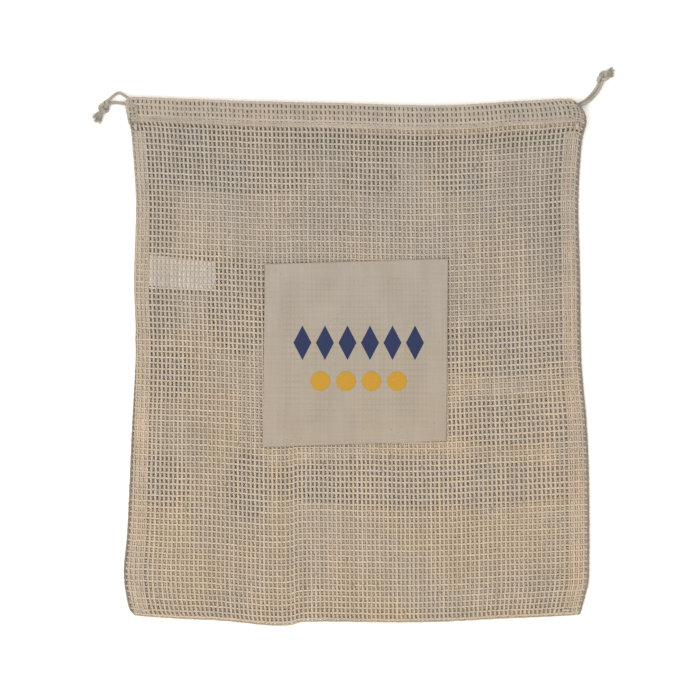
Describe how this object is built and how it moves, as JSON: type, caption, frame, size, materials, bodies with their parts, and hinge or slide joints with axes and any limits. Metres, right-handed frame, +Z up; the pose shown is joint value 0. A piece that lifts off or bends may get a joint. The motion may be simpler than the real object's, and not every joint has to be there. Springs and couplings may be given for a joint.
{
  "type": "mesh produce bag",
  "caption": "Flat mesh produce bag of knotted cotton net, with a drawstring channel, looped drawcords tied at both sides, a sewn-on cloth patch and a care label.",
  "frame": {"origin": "middle of the bag's footprint, on the table it lies on", "axes": "+X across the bag to the right, +Y from the folded bottom to the mouth, +Z up through the thickness"},
  "size_m": [0.3496, 0.3733, 0.008],
  "materials": {
    "net": "matte",
    "thread": "matte",
    "calico": "matte",
    "navy_ink": "matte",
    "ochre_ink": "matte",
    "label_tape": "satin",
    "cord": "matte"
  },
  "bodies": {
    "root": {"back_net": "net", "front_net": "net", "back_hem": "net", "front_hem": "net", "left_seam_allowance": "net", "right_seam_allowance": "net", "left_seam_stitching": "thread", "right_seam_stitching": "thread", "back_hem_stitching": "thread", "front_hem_stitching": "thread", "seam_end_bartacks": "thread", "patch": "calico", "patch_hem": "calico", "patch_stitching": "thread", "print_navy": "navy_ink", "print_ochre": "ochre_ink", "care_label": "label_tape"},
    "left_mouth": {"left_mouth_hem": "net", "left_mouth_bartack": "thread"},
    "right_mouth": {"right_mouth_hem": "net", "right_mouth_bartack": "thread"},
    "left_cord": {"left_drawcord": "cord", "left_knot": "cord", "left_cord_ends": "cord"},
    "right_cord": {"right_drawcord": "cord", "right_knot": "cord", "right_cord_ends": "cord"}
  },
  "joints": [
    {"name": "left_cord_pull", "type": "slide", "parent": "root", "child": "left_cord", "axis": [-1, 0, 0], "range_m": [0, 0.07]},
    {"name": "right_cord_pull", "type": "slide", "parent": "root", "child": "right_cord", "axis": [1, 0, 0], "range_m": [0, 0.07]},
    {"name": "right_mouth_gather", "type": "slide", "parent": "root", "child": "right_mouth", "axis": [-1, 0, 0], "range_m": [0, 0.07], "deforming": ["front_net", "back_net", "right_seam_allowance", "right_seam_stitching", "front_hem_stitching", "back_hem_stitching"]},
    {"name": "left_mouth_gather", "type": "slide", "parent": "root", "child": "left_mouth", "axis": [1, 0, 0], "range_m": [0, 0.07], "deforming": ["front_hem", "back_hem", "left_seam_allowance", "left_seam_stitching", "care_label"]}
  ],
  "couplings": [
    {"joint": "right_mouth_gather", "follows": "left_cord_pull", "ratio": 1},
    {"joint": "left_mouth_gather", "follows": "right_cord_pull", "ratio": 1}
  ]
}
